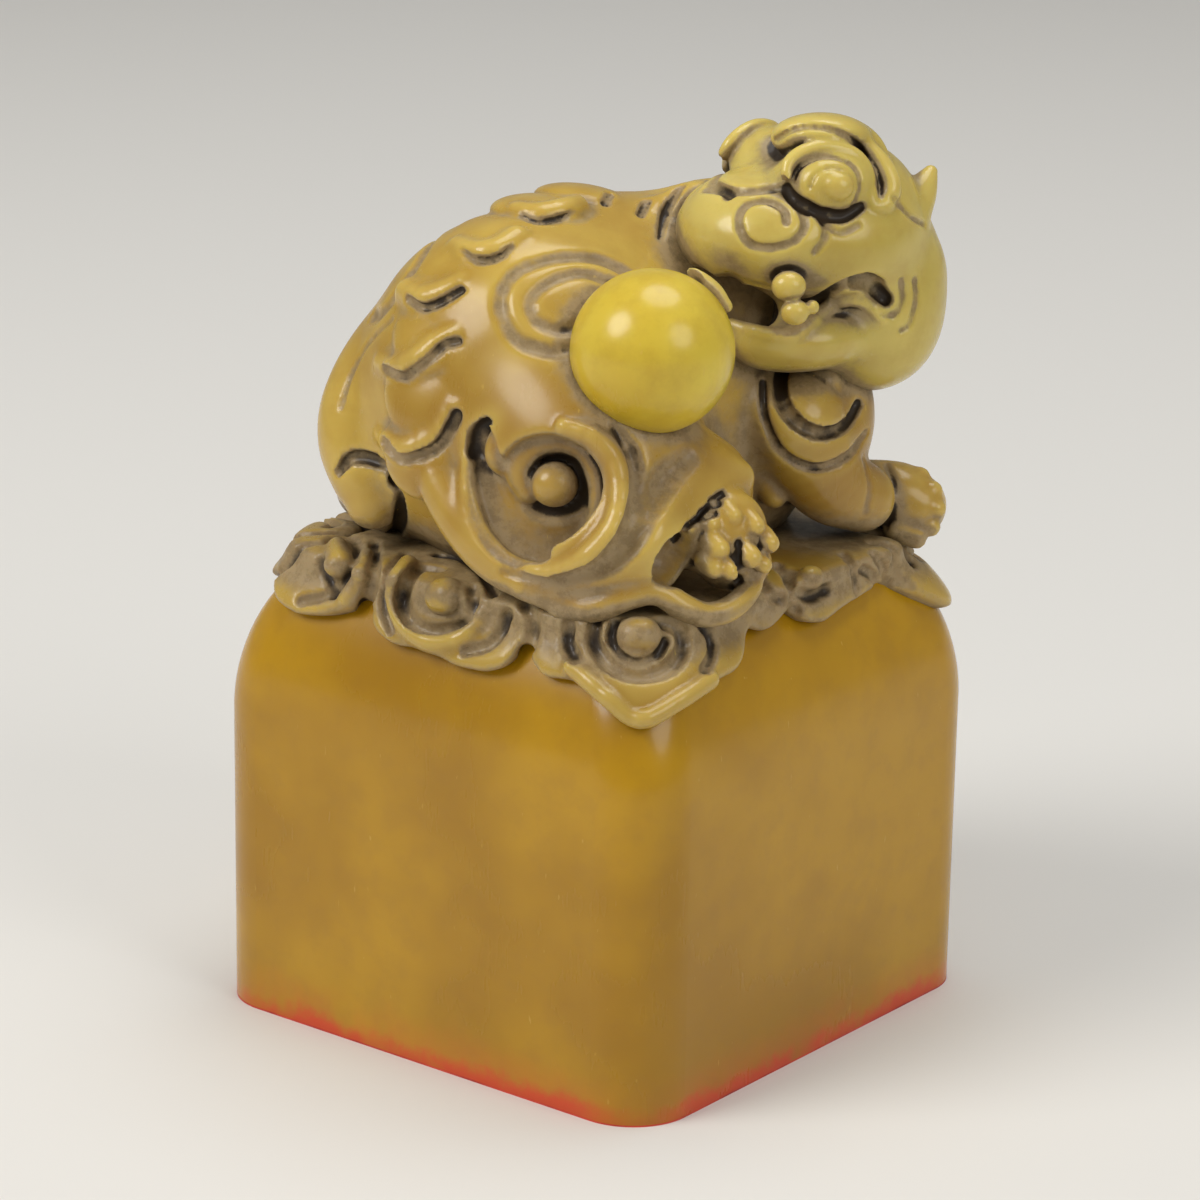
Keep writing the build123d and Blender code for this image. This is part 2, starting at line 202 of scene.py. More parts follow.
def stone_material(name, light, deep, carved=True, stained=False, brown_below=-0.1):
    """Stone for one piece. A carved piece brings its own hollows and high places; a stained one has seal
    paste dried along its lower edge."""
    material, b = fresh_material(name)
    looks = b.node("ShaderNodeGroup", node_tree=stone_looks, in_Light_Stone=light, in_Deep_Stone=deep,
        in_Brown_Below=brown_below)
    if carved:
        for layer in ("Hollow", "Groove", "High Place"):
            read = b.node("ShaderNodeAttribute", attribute_name=layer.lower().replace(" ", "_"))
            b.link(read.outputs["Fac"], looks.inputs[layer])
    shader = b.node("ShaderNodeBsdfPrincipled", in_Subsurface_Weight=0.18,
        in_Subsurface_Radius=(1.0, 0.6, 0.2), in_Subsurface_Scale=0.0016, in_Specular_IOR_Level=0.36,
        in_Coat_Weight=0.2, in_Coat_Roughness=0.12)
    surface = looks.outputs["Color"]
    if stained:
        place = b.node("ShaderNodeTexCoord").outputs["Object"]
        split = b.node("ShaderNodeSeparateXYZ")
        b.link(place, split.inputs[0])
        low = b.swayed(split.outputs["Z"], b.noise(place, 420.0, 6.0, 0.7), 0.0022)
        film = b.less(1.0, b.between(low, 0.0002, 0.0014))
        glow = b.less(1.0, b.between(low, 0.0004, 0.0034))
        # the rounded corners are handled most, so the paste has rubbed off there
        from_middle = (b.math("ABSOLUTE", split.outputs[way]) for way in "XY")
        corner = b.math("MINIMUM", *from_middle)
        left_on = b.math("MULTIPLY_ADD", b.between(corner, 0.0105, 0.0150), -0.7, 1.0)
        worn = b.times(left_on, b.between(b.noise(place, 150.0, 3.0, 0.6), 0.26, 0.48))
        surface = b.mix(b.times(b.times(glow, 0.34), worn), surface, colour(205, 92, 38))
        surface = b.mix(b.times(b.times(film, 0.9), worn), surface, colour(208, 64, 30))
    b.link(surface, shader.inputs["Base Color"])
    b.link(looks.outputs["Roughness"], shader.inputs["Roughness"])
    finish_surface(b, shader, looks.outputs["Height"], 0.6, 0.00005)
    return material


def dress(node, material):
    """A solid that keeps its shape takes a better finish."""
    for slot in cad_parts[node].material_slots:
        slot.material = material


block_stone = stone_material(
    "block_stone", colour(186, 141, 12), colour(160, 116, 4), carved=False, stained=True)
dress("seal_block", block_stone)


# Sealing face: a border and a key-pattern fret cut into the underside with a small chisel, with a thin
# dried film of red seal paste left on the raised lines.

def paste_material():
    """Cinnabar paste: matte, patchy, darker where it is thick."""
    material, b = fresh_material("dried_seal_paste")
    place = b.node("ShaderNodeTexCoord").outputs["Object"]
    patch = b.between(b.noise(place, 300.0, 5.0, 0.65), 0.35, 0.7)
    fleck = b.noise(place, 2200.0, 4.0, 0.7)
    red = b.mix(patch, colour(206, 60, 34), colour(160, 34, 22))
    red = b.mix(b.times(b.between(fleck, 0.62, 0.8), 0.5), red, colour(196, 116, 60))
    shader = b.node("ShaderNodeBsdfPrincipled")
    b.link(red, shader.inputs["Base Color"])
    b.link(b.plus(0.55, b.times(patch, 0.25)), shader.inputs["Roughness"])
    finish_surface(b, shader, b.plus(patch, fleck), 0.7, 0.00004)
    return material


dress("seal_face_relief", block_stone)
dress("seal_paste_film", paste_material())


# Cloud collar: the top of the same stone, cut as a thin layer of cloud scrolls that hangs over the
# shoulders in lobes, with rolled edges, deep curls and brown dust with painted shade left in every hollow.

# a millimetre in metres, and the distance in mm that stands for far from any stone
MM = 0.001
FAR = 6.0


def fillet(apart, blend):
    """How much stone a soft blend of two surfaces adds or takes, from how far apart they are."""
    near = np.maximum(blend - np.abs(apart), 0) / max(blend, 1e-6)
    return near * near * blend / 4


class Clay:
    """A block of points that each hold their distance, in mm, out of the carved surface."""

    def __init__(self, low, high, cell):
        self.cell = cell * 1.0
        self.low = np.array(low, float)
        counts = np.ceil((np.array(high) - self.low) / self.cell).astype(int) + 1
        self.lines = [self.low[i] + self.cell * np.arange(counts[i]) for i in range(3)]
        self.depth = np.full(counts, FAR, np.float32)

    def window(self, low, high):
        """The cells between two corners."""
        first = np.floor((np.asarray(low) - self.low) / self.cell).astype(int)
        last = np.ceil((np.asarray(high) - self.low) / self.cell).astype(int) + 1
        first, last = (np.clip(end, 0, self.depth.shape) for end in (first, last))
        return tuple(slice(start, max(start, stop)) for start, stop in zip(first, last))

    def everywhere(self):
        """The places of all its points."""
        return self.places(tuple(slice(0, count) for count in self.depth.shape))

    def places(self, window):
        x, y, z = (self.lines[axis][window[axis]].astype(np.float32) for axis in range(3))
        return x[:, None, None], y[None, :, None], z[None, None, :]

    def join(self, window, distance, blend):
        """Stone added, run into what is there over the width of the blend."""
        here = self.depth[window]
        self.depth[window] = np.minimum(here, distance) - fillet(here - distance, blend)

    def take(self, window, distance, blend):
        """Stone cut away, with its edge softened in the same way."""
        here = self.depth[window]
        self.depth[window] = np.maximum(here, -distance) + fillet(here + distance, blend)

    def clear(self, distance):
        """Nothing is left where the distance is below 0."""
        self.depth[:] = np.maximum(self.depth, -distance)

    def depth_at(self, points):
        """Distances at any points, read between the cells."""
        local = (np.asarray(points, float) - self.low) / self.cell
        shape = np.array(self.depth.shape)
        local = np.clip(local, 0, shape - 1.001)
        base = local.astype(int)
        part = local - base
        total = 0
        for corner in range(8):
            step = np.array([(corner >> axis) & 1 for axis in range(3)])
            weight = np.prod(np.where(step, part, 1 - part), axis=1)
            i, j, k = (base + step).T
            total = total + weight * self.depth[i, j, k]
        return total


def rope_distance(clay, points, girths, margin):
    """Distance to a round-ended rope that runs through the points with a radius at each."""
    points = np.asarray(points, float)
    girths = np.asarray(girths, float)
    reach = girths.max() + margin
    window = clay.window(points.min(0) - reach, points.max(0) + reach)
    out = np.full(clay.depth[window].shape, 9.0, np.float32)
    for a, b, ra, rb in zip(points[:-1], points[1:], girths[:-1], girths[1:]):
        width = max(ra, rb) + margin
        small = clay.window(np.minimum(a, b) - width, np.maximum(a, b) + width)
        inner = tuple(slice(s.start - w.start, s.stop - w.start) for s, w in zip(small, window))
        x, y, z = clay.places(small)
        d = b - a
        share = ((x - a[0]) * d[0] + (y - a[1]) * d[1] + (z - a[2]) * d[2]) / max(float(d @ d), 1e-9)
        share = np.clip(share, 0, 1)
        gap = np.sqrt((x - a[0] - share * d[0]) ** 2 + (y - a[1] - share * d[1]) ** 2
                      + (z - a[2] - share * d[2]) ** 2) - (ra + share * (rb - ra))
        out[inner] = np.minimum(out[inner], gap)
    return window, out


def smooth_line(points, girths, steps=6):
    """A soft curve through a few points, with the radius changing along it."""
    points = np.asarray(points, float)
    girths = np.full(len(points), girths, float) if np.isscalar(girths) else np.asarray(girths, float)
    data = np.column_stack([points, girths])
    if len(data) < 3:
        share = np.linspace(0, 1, steps)[:, None]
        line = data[0] * (1 - share) + data[1] * share
        return line[:, :3], line[:, 3]
    ends = np.vstack([2 * data[0] - data[1], data, 2 * data[-1] - data[-2]])
    line = []
    for i in range(1, len(ends) - 2):
        p0, p1, p2, p3 = ends[i - 1:i + 3]
        for t in np.linspace(0, 1, steps, endpoint=False):
            line.append(0.5 * (2 * p1 + (p2 - p0) * t + (2 * p0 - 5 * p1 + 4 * p2 - p3) * t * t
                               + (3 * p1 - p0 - 3 * p2 + p3) * t ** 3))
    line = np.array(line + [data[-1]])
    return line[:, :3], np.maximum(line[:, 3], 0.05)


def lay(clay, line, girth, blend, cut):
    """A rounded rib laid along a line, or a rounded channel taken out along it."""
    window, gap = rope_distance(clay, line, girth, blend + 1.0)
    (clay.take if cut else clay.join)(window, gap, blend)


def rope(clay, points, girths, blend=0.5, cut=False):
    """A rib or channel along a soft curve through the points."""
    lay(clay, *smooth_line(points, girths), blend, cut)


def egg(clay, centre, radii, axes=None, blend=1.0, cut=False):
    """A rounded egg form with its own three directions."""
    centre = np.asarray(centre, float)
    radii = np.asarray(radii, float)
    axes = np.eye(3) if axes is None else np.asarray(axes, float)
    half = np.sqrt(((axes * radii[:, None]) ** 2).sum(0)) + blend + 1.0
    window = clay.window(centre - half, centre + half)
    x, y, z = clay.places(window)
    x, y, z = x - centre[0], y - centre[1], z - centre[2]
    parts = [(x * a[0] + y * a[1] + z * a[2]) / r for a, r in zip(axes, radii)]
    near = np.sqrt(sum(p * p for p in parts))
    steep = np.sqrt(sum((p / r) ** 2 for p, r in zip(parts, radii)))
    gap = near * (near - 1) / np.maximum(steep, 1e-5)
    (clay.take if cut else clay.join)(window, gap, blend)


eye_line = (0.59, -0.754, 0.289)


class Side:
    """A place on the carving looked at square on, from the eye's own side unless it says otherwise.
    Points are given in mm across, to the right or with hand=-1 to the left, and up."""

    def __init__(self, clay, centre, towards=eye_line, hand=1):
        self.clay = clay
        towards = np.asarray(towards, float)
        self.towards = towards / np.linalg.norm(towards)
        across = np.cross((0, 0, 1), self.towards)
        across = across / np.linalg.norm(across)
        self.up = np.cross(self.towards, across)
        self.across = hand * across
        self.centre = np.asarray(centre, float)

    def place(self, across, up, out=0.0):
        return self.centre + self.across * across + self.up * up + self.towards * out

    def rope(self, points, girths, blend=0.4, cut=False):
        """A rope through points given as mm across, up and out from the place."""
        rope(self.clay, [self.place(*point) for point in points], girths, blend, cut)

    def egg(self, point, radii, blend=0.4, cut=False):
        """An egg form whose radii are given across, up and out."""
        egg(self.clay, self.place(*point), radii, (self.across, self.up, self.towards), blend, cut)

    def mirrored(self, middle, normal):
        """The same place on the other side of the beast's own middle."""
        middle, normal = np.asarray(middle, float), np.asarray(normal, float)
        centre = self.centre - 2 * ((self.centre - middle) @ normal) * normal
        twin = Side(self.clay, centre, self.towards)
        for name in ("towards", "across", "up"):
            way = getattr(self, name)
            setattr(twin, name, way - 2 * (way @ normal) * normal)
        return twin

    def on(self, points, lift):
        """The points let down on to the carved surface, then lifted off it."""
        reach, stride = 7.0, 0.08
        steps = np.arange(reach, -reach, -stride)
        settled = []
        for point in points:
            start = self.centre + self.across * point[0] + self.up * point[1]
            inside = np.nonzero(self.clay.depth_at(start + self.towards * steps[:, None]) < 0)[0]
            step = steps[inside[0]] if len(inside) else 0.0
            settled.append(start + self.towards * (step + lift))
        return np.array(settled)

    def rib(self, points, girths, lift=0.0, blend=0.4, steps=5, cut=False):
        """A rib that follows the surface, through points given as mm across and up."""
        line, girth = smooth_line([(p[0], p[1], 0) for p in points], girths, steps)
        lay(self.clay, self.on(line, lift), girth, blend, cut)

    def groove(self, points, girths=0.3, lift=-0.1, blend=0.25, steps=5):
        self.rib(points, girths, lift, blend, steps, cut=True)


def winding(start, turns, reach, tip, hand):
    """Points of a flat spiral, from its outer end in to the middle, and the share of the way in at each."""
    shares = np.linspace(0, 1, 22)
    points = []
    for share in shares:
        radius = reach * (1 - share) + tip * share
        angle = math.radians(start) + hand * turns * 2 * math.pi * share
        points.append((radius * math.cos(angle), radius * math.sin(angle)))
    return points, shares


def softened(field, width):
    """The field with each value spread over its neighbours."""
    span = 2 * width + 1
    for axis in (0, 0, 1, 1, 2, 2):
        ends, front = [(0, 0)] * 3, [(0, 0)] * 3
        ends[axis], front[axis] = (width, width), (1, 0)
        total = np.pad(np.cumsum(np.pad(field, ends, "edge"), axis, dtype=np.float64), front)
        count = field.shape[axis]
        lead, lag = np.take(total, range(span, span + count), axis), np.take(total, range(count), axis)
        field = ((lead - lag) / span).astype(np.float32)
    return field


def put_in_scene(name, data):
    thing = bpy.data.objects.new(name, data)
    bpy.context.scene.collection.objects.link(thing)
    return thing


def skin(clay, name, material):
    """The carved surface as a mesh, with its fine grooves and its rubbed high places written on it."""
    smooth_reach = 0.4
    grid = openvdb.FloatGrid(background=FAR)
    grid.copyFromArray(clay.depth)
    points, quads = grid.convertToQuads(isovalue=0.0)
    places = clay.low + points * clay.cell
    mesh = bpy.data.meshes.new(name)
    mesh.from_pydata((places * MM).tolist(), [], quads.tolist())
    mesh.update()
    blurred = copy(clay)
    blurred.depth = softened(np.clip(clay.depth, -2.0, 2.0), max(1, round(smooth_reach / clay.cell)))
    bend = -blurred.depth_at(places) / smooth_reach
    deepest, sharpest = 0.40, 0.34
    write_layer(mesh, "groove", np.clip(bend / deepest, 0, 1))
    write_layer(mesh, "high_place", np.clip(-bend / sharpest, 0, 1))
    mesh.polygons.foreach_set("use_smooth", [True] * len(mesh.polygons))
    mesh.materials.append(material)
    return put_in_scene(name, mesh)


def write_layer(mesh, name, values):
    layer = mesh.attributes.get(name) or mesh.attributes.new(name, "FLOAT", "POINT")
    layer.data.foreach_set("value", np.ascontiguousarray(values, np.float32))


block_half = 16.0
block_corner = 3.7
wall_height = 17.5
crown_height = 27.0
shoulder_inset = 5.5


def cushion_distance(x, y, z, skin_out=0.0):
    """Distance out of the block's rounded top, which narrows in a quarter oval over its shoulders."""
    rise = np.clip((z - wall_height) / (crown_height - wall_height), 0, 1)
    half = block_half - shoulder_inset * (1 - np.sqrt(1 - rise ** 2 * 0.9999))
    side = rounded_square(x, y, half, block_corner * half / block_half)
    slope = shoulder_inset / (crown_height - wall_height) * rise / np.sqrt(np.maximum(1 - rise ** 2, 0.02))
    across = side / np.sqrt(1 + slope ** 2)
    return np.maximum(across, z - crown_height) - skin_out


def rounded_square(x, y, half, corner):
    """Distance out of a square with rounded corners."""
    dx, dy = np.abs(x) - half + corner, np.abs(y) - half + corner
    beyond = np.sqrt(np.maximum(dx, 0) ** 2 + np.maximum(dy, 0) ** 2)
    return beyond + np.minimum(np.maximum(dx, dy), 0) - corner


def edge_height(places, lobes):
    """Height of the collar's lower edge at places along one side."""
    return np.interp(places, *zip(*lobes))


# place along the side, height of the edge: front left, front right, back left and back right sides
left_side_lobes = ((-16, 25.6), (-14.2, 25), (-12.6, 24.5), (-10.5, 24.1), (-8.4, 24.4), (-6.4, 25.2),
    (-5.7, 25.9), (-5.1, 24.8), (-4.1, 24.2), (-2.6, 23.85), (-1, 24), (0.4, 23.95), (2.1, 23.6),
    (4.4, 23.7), (6, 24.3), (6.8, 25.5), (7.6, 24.6), (8.6, 24.15), (10.2, 24.35), (11.8, 24.35),
    (13.2, 23.85), (14.8, 23.1), (16, 22.7))
right_side_lobes = ((-16, 22.7), (-14.6, 23.3), (-12.4, 23.8), (-9.6, 24.05), (-7.6, 24.2), (-6.5, 24.9),
    (-5.8, 26.1), (-5, 25.5), (-3.8, 25.4), (-2.4, 25.7), (-1.2, 26.2), (-0.4, 25.2), (1.4, 24.8),
    (3.6, 25.15), (6.4, 25.4), (8.6, 25.6), (9.3, 25.9), (10.4, 24.9), (11.8, 24), (13.6, 23.1), (16, 23))
back_left_lobes = ((-16, 25.6), (-14, 25), (-11.5, 24.3), (-9, 24.1), (-6.6, 24.6), (-5.8, 25.8), (-5, 24.7),
    (-2.5, 24), (0, 23.9), (2.8, 23.8), (5.2, 24.2), (6.2, 25.6), (7.2, 24.8), (9.5, 24.3), (12, 23.9),
    (14.2, 23.3), (16, 22.9))
back_right_lobes = ((-16, 22.9), (-14, 23.5), (-11.8, 24.1), (-9, 24.2), (-7.2, 24.9), (-6.5, 25.9),
    (-5.6, 24.9), (-3, 24.1), (0, 24.2), (2.6, 23.9), (5, 24.2), (6, 25.6), (7, 24.9), (9.4, 24.5),
    (12, 24.2), (14, 23.6), (16, 23))

collar_clay = Clay((-17, -17, 21.6), (17, 17, 31.4), 0.17)
x, y, z = collar_clay.everywhere()
flat_x, flat_y = np.broadcast_arrays(x[:, :, 0], y[:, :, 0])
on_y_side = np.abs(flat_y) >= np.abs(flat_x)
along = np.where(on_y_side, 16 * flat_x / np.maximum(np.abs(flat_y), 1),
    16 * flat_y / np.maximum(np.abs(flat_x), 1))
hem = np.select([on_y_side & (flat_y < 0), on_y_side, flat_x > 0], [edge_height(along, left_side_lobes),
    edge_height(along, back_right_lobes), edge_height(along, right_side_lobes)],
    edge_height(along, back_left_lobes))
cloth_thickness, hem_roll, hem_reach, hem_softness = 0.85, 0.35, 1.1, 0.5
above_hem = z - hem[:, :, None]
cloth = cushion_distance(x, y, z, cloth_thickness) - hem_roll * np.exp(-np.maximum(above_hem, 0) / hem_reach)
lean = 0.8
drop = -lean * above_hem
collar_clay.depth[:] = np.maximum(cloth, drop) + fillet(cloth - drop, hem_softness)
collar_clay.depth[:] = softened(np.clip(collar_clay.depth, -2, 2), 2)

# the cloud floor swells a little under the beast
egg(collar_clay, (0, -1, 26.6), (11.5, 12, 1.9), blend=1.2)

left_scroll = Side(collar_clay, (-0.5, -13.2, 26.8))
left_scroll.rib([(-2.2, 1.7), (-2.9, 0.2), (-2.4, -1.5), (-0.8, -2.6), (1, -2.3), (2, -1.2)], 0.5, 0.1)
left_scroll.groove([(-0.4, 1.35), (-1.5, 1.4), (-2.3, 0.5), (-2.4, -0.7), (-1.6, -1.7), (-0.4, -2),
    (0.9, -1.7), (1.6, -0.7), (1.5, 0.4)], [0.3, 0.4, 0.45, 0.45, 0.45, 0.45, 0.4, 0.35, 0.3], -0.2)
left_scroll.rib([(-0.1, -0.1), (0.15, -0.1)], 1.05, -0.3, 0.08)
left_scroll.groove([(-2.4, 2.3), (-3.3, 1.2), (-3.5, -0.5), (-3, -2)], 0.28)
left_scroll.groove([(1.2, -3.1), (2.4, -2.7), (3.1, -2), (3.5, -1)], [0.25, 0.4, 0.4, 0.3])
left_scroll.groove([(-0.6, 2.2), (0.8, 2), (2, 1.2), (2.7, 0.1)], 0.3)
left_scroll.groove([(4.5, -3.9), (4.6, -3), (4.9, -1.6), (4.4, -0.4)], [0.45, 0.45, 0.4, 0.3])
left_scroll.groove([(-4.3, 2.9), (-4.2, 1), (-4.6, -0.8), (-5, -1.9)], [0.35, 0.45, 0.45, 0.35])

front_scroll = Side(collar_clay, (12.1, -12.25, 26.6))
front_scroll.groove([(-2.2, 1), (-2.3, -0.2), (-1.5, -1.3), (0, -1.9), (1.6, -1.5), (2.4, -0.5), (2.2, 0.6),
    (1.4, 0.9)], [0.3, 0.4, 0.5, 0.5, 0.5, 0.45, 0.45, 0.4], -0.2)
front_scroll.groove([(-1.2, 0.9), (-1.4, 0), (-1, -0.8), (0, -1.25), (1, -0.9), (1.45, -0.1)], 0.3, -0.15,
    0.1)
front_scroll.rib([(-0.1, 0.2), (0.2, 0.2)], 1.05, -0.3, 0.08)
front_scroll.rib([(-3.4, -1.5), (-1.5, -3.1), (0.2, -4.2), (2.2, -3.2), (3.9, -2.1)], 0.55, -0.05, 0.15)
front_scroll.groove([(3.4, 1), (3.9, 0.2), (4, -0.8), (3.6, -1.6)], 0.3)
front_scroll.groove([(-3.7, 0.6), (-3.7, -0.3), (-3.3, -1.1)], 0.38)
front_scroll.groove([(-2.3, 1.7), (-1, 2.4), (0.8, 2.3), (2.2, 1.7)], 0.35)

right_scroll = Side(collar_clay, (13, 1.8, 26.9))
right_scroll.groove([(-1, 0.5), (-0.8, -0.4), (0.2, -0.9), (1.2, -0.5)], 0.36)
right_scroll.rib([(0.2, 0.2), (0.35, 0.2)], 0.65, -0.15, 0.08)
right_scroll.groove([(-2.8, 0.3), (-2.2, -0.7), (-1.5, -1.1)], 0.33)
right_scroll.groove([(2.2, 1.6), (2.8, 0.8), (3, -0.4)], 0.28)
right_scroll.groove([(4, 1.6), (4.6, 0.9), (5, 0)], 0.26)
right_scroll.groove([(-1.6, 0.9), (-1.1, -0.2), (-0.6, -1.6)], 0.3)

left_curl = Side(collar_clay, (-8.9, -12.1, 27.4))
left_curl.groove([(-0.9, 0.7), (0.3, 0.9), (0.9, -0.2), (0.6, -1.4), (-0.3, -2.2)], 0.36)
left_curl.rib([(-0.4, 0.3), (-0.2, -0.5), (-0.4, -0.8)], 0.55, 0.05)
left_curl.rib([(1.3, -0.2), (1, -1.5), (0.3, -2.6)], 0.4, 0)

# the sides and corners away from the eye carry the same clouds, cut by the same hand
for centre, facing, hand in (((-13, 1, 26.8), (-0.85, 0.1, 0.5), 1),
        ((0.5, 13, 26.8), (0.1, 0.85, 0.5), -1), ((-12.2, 12.2, 26.6), (-0.6, 0.6, 0.5), 1),
        ((11.6, 12, 26.6), (0.6, 0.6, 0.5), -1), ((-12.4, -9.6, 26.6), (-0.8, -0.3, 0.5), -1)):
    away = Side(collar_clay, centre, facing)
    coil, share = winding(200, 1.35, 2.5, 1.1, hand)
    away.groove(coil, 0.42 - 0.12 * share, -0.15, steps=2)
    away.groove([(-3.8, 1.8), (-4.2, 0.2), (-4, -1.6)], 0.36)
    away.groove([(3.4, 1.6), (3.9, 0.2), (3.7, -1.6)], 0.3)
    away.groove([(-6.4, 1.6), (-5.6, 0.6), (-5.4, -0.8)], 0.3)
    away.groove([(5.4, 1.4), (6.2, 0.4), (6, -1)], 0.3)

# inside the collar nothing is carved: it is the block
lap_on_block = 0.5
collar_clay.clear(cushion_distance(*collar_clay.everywhere()) + lap_on_block)
cloud_stone = stone_material("cloud_stone", colour(176, 142, 58), colour(140, 108, 36))
collar = skin(collar_clay, "cloud_collar_carving", cloud_stone)
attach(collar, "root")
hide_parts("cloud_collar", "face_cloud_scrolls", "corner_cloud_scrolls")


# Pearl: a ball left standing under the beast's jaw, turned by hand with the knife and polished brighter
# than the rest; brown dust with painted shade lies in the seat round its foot.

pearl_middle = (9.4, -7.9, 41.2)
pearl_radius = 4.45
pearl_stone = stone_material("pearl_stone", colour(222, 198, 72), colour(194, 160, 34), carved=False)
dress("pearl", pearl_stone)


def pearl_distance(x, y, z):
    """Distance out of the ball, in mm."""
    a, b, c = pearl_middle
    return np.sqrt((x - a) ** 2 + (y - b) ** 2 + (z - c) ** 2) - pearl_radius


# Beast body: a crouching guardian beast with its back arched, one stone with the block, roughed out with
# the chisel and finished with the knife; legs end in flame curls and the spine is tiled with scales.

body_clay = Clay((-16.2, -16.2, 26.4), (16.4, 16.2, 49.4), 0.17)
for place, radii, blend in (((-1.4, -6.6, 36.6), (9.2, 7.4, 10), 0), ((-1, -1, 36.6), (9.2, 8.6, 10.3), 3),
        ((0.2, 5.6, 34.6), (9.6, 8.2, 10.6), 3)):
    egg(body_clay, place, radii, blend=blend)
rope(body_clay, [(-0.6, 1, 41.6), (2.4, 5, 42.4), (6, 8.4, 44)], [4.8, 4.6, 4.4], blend=2.5)

# thighs, shanks and shoulders in the rough
for place, radii, blend in (((4.4, -8, 34), (7.2, 6.2, 7.4), 2), ((6.4, -10.4, 31.4), (7, 4.6, 4.6), 1.5),
        ((9.6, -5.6, 32.8), (3.8, 4.6, 3.6), 1.5), ((-7.6, -5, 34.2), (5.6, 7.2, 7.4), 2),
        ((-9, -3, 30.6), (5.2, 7, 3.8), 1.5), ((-8.6, 5.4, 35.2), (4.2, 4.6, 6.2), 1.5)):
    egg(body_clay, place, radii, blend=blend)

haunch = Side(body_clay, (6.5, -12.7, 34.4))
far_haunch = Side(body_clay, (-12.6, -5.2, 34), (-0.92, -0.22, 0.2), hand=-1)


def haunch_flame(side, deep):
    """The curl of the thigh: a bowl with a rolled rim and a bead, and the thick band that carries it."""
    side.rope([(-6.9, 3, -4 * deep), (-6.2, 0.2, -3.6 * deep), (-4.6, -2.3, -2.9 * deep),
        (-2.7, -4.2, -1.8 * deep), (-0.6, -5.2, -0.9 * deep), (1.6, -5.5, -0.4 * deep)],
        [0.8, 1.25, 1.45, 1.45, 1.3, 1.1], 0.9)
    side.egg((-0.5, -0.9, -2.4), (4.4, 4.6, 2.6), 0.9)
    side.egg((-0.4, -0.5, 1.1), (3.3, 3, 2.7), 0.3, cut=True)
    side.rope([(-3.9, 2, -0.9), (-3.7, 0.2, -0.7), (-3, -1.7, -0.4), (-1.6, -3, -0.1), (0.2, -3.3, 0),
        (1.6, -2.7, 0)], [0.9, 1.35, 1.6, 1.65, 1.5, 1.1], 0.35, cut=True)
    side.rope([(1.2, -3, -0.1), (2.1, -2, -0.1), (2.45, -0.7, -0.1), (2.4, 0.6, -0.1), (1.8, 1.6, -0.1),
        (0.8, 2.1, -0.2), (-0.1, 1.9, -0.4)], [0.95, 0.75, 0.62, 0.55, 0.48, 0.4, 0.3], 0.2, cut=True)
    side.rib([(-4.6, 1.4), (-4.5, -0.5), (-3.8, -2.6), (-2.4, -4.2), (-0.6, -4.9), (1, -4.7), (2.4, -3.7),
        (3.4, -2.2), (3.6, -0.4), (3.2, 1.2), (2.1, 2.4), (0.6, 2.9)], [0.25, 0.35, 0.4, 0.45, 0.55, 0.7,
        0.75, 0.65, 0.6, 0.65, 0.6, 0.45], 0, 0.35)
    side.rope([(1.9, -3, -1.1), (2.5, -1.5, -0.7), (2.5, 0.2, -0.5), (1.8, 1.7, -0.5), (0.4, 2.3, -0.6),
        (-1.1, 1.9, -0.8), (-1.8, 0.7, -1.1), (-1.3, -0.4, -1.4)], [0.45, 0.6, 0.7, 0.75, 0.8, 0.85, 0.85,
        0.8], 0.12)
    side.egg((0.1, -0.1, -0.7), (1.3, 1.25, 1.25), 0.08)
    side.groove([(-2.6, -4.9), (0.1, -5.5), (2.2, -4.8), (3.8, -3.1), (4.5, -1), (4.4, 1.2), (3.4, 2.9)],
        [0.25, 0.4, 0.5, 0.5, 0.5, 0.45, 0.3], 0.05, 0.25)
    side.rope([(-4.1, 1.6, -1.6), (-3.9, 2.6, -1.2), (-3, 3.3, -0.9)], [0.6, 0.6, 0.5], 0.12, cut=True)
    side.rope([(-2.2, 2.9, -1.4), (-2.8, 2.2, -1.2), (-2.9, 1.3, -1.3), (-2.4, 0.6, -1.6)],
        [0.55, 0.75, 0.75, 0.5], 0.12)


haunch_flame(haunch, 1)
haunch_flame(far_haunch, 0.8)

# shank: a fold that sweeps under the bowl and up to the knee, with a hollow above it
haunch.rope([(-1.4, -5.7, -0.6), (0.8, -6.3, -0.2), (2.9, -5.7, 0.2), (4.5, -4.1, 0.1), (5.6, -2.6, -0.5),
    (6.7, -1.1, -1.2), (8, 0, -2), (9.2, 0.7, -2.9), (10.2, 0.6, -3.8)], [0.6, 0.8, 0.85, 0.8, 0.75, 0.75,
    0.75, 0.75, 0.7], 0.5)
haunch.groove([(0.6, -5.3), (2.7, -4.6), (4.3, -2.9), (5.3, -1), (6.3, 0.5), (7.4, 1.5)],
    [0.35, 0.55, 0.7, 0.8, 0.8, 0.5], 0.3, 0.5)

# lip of the tray that the hind foot rests in
haunch.rope([(0.6, -6.7, -0.2), (2.4, -6.7, 0.7), (4.2, -6, 1), (5.7, -5.8, 0.7), (7.1, -6.6, 0.3),
    (8.4, -7, -0.3), (9.7, -6.6, -1), (10.7, -5.6, -1.9), (11, -4.4, -2.8)],
    [0.7, 0.8, 0.8, 0.75, 0.75, 0.7, 0.7, 0.65, 0.55], 0.35)
haunch.egg((6.4, -4, 0.6), (2, 1.5, 1.7), 0.3, cut=True)
haunch.egg((8.6, -4.9, -0.2), (1.6, 1, 1.4), 0.3, cut=True)

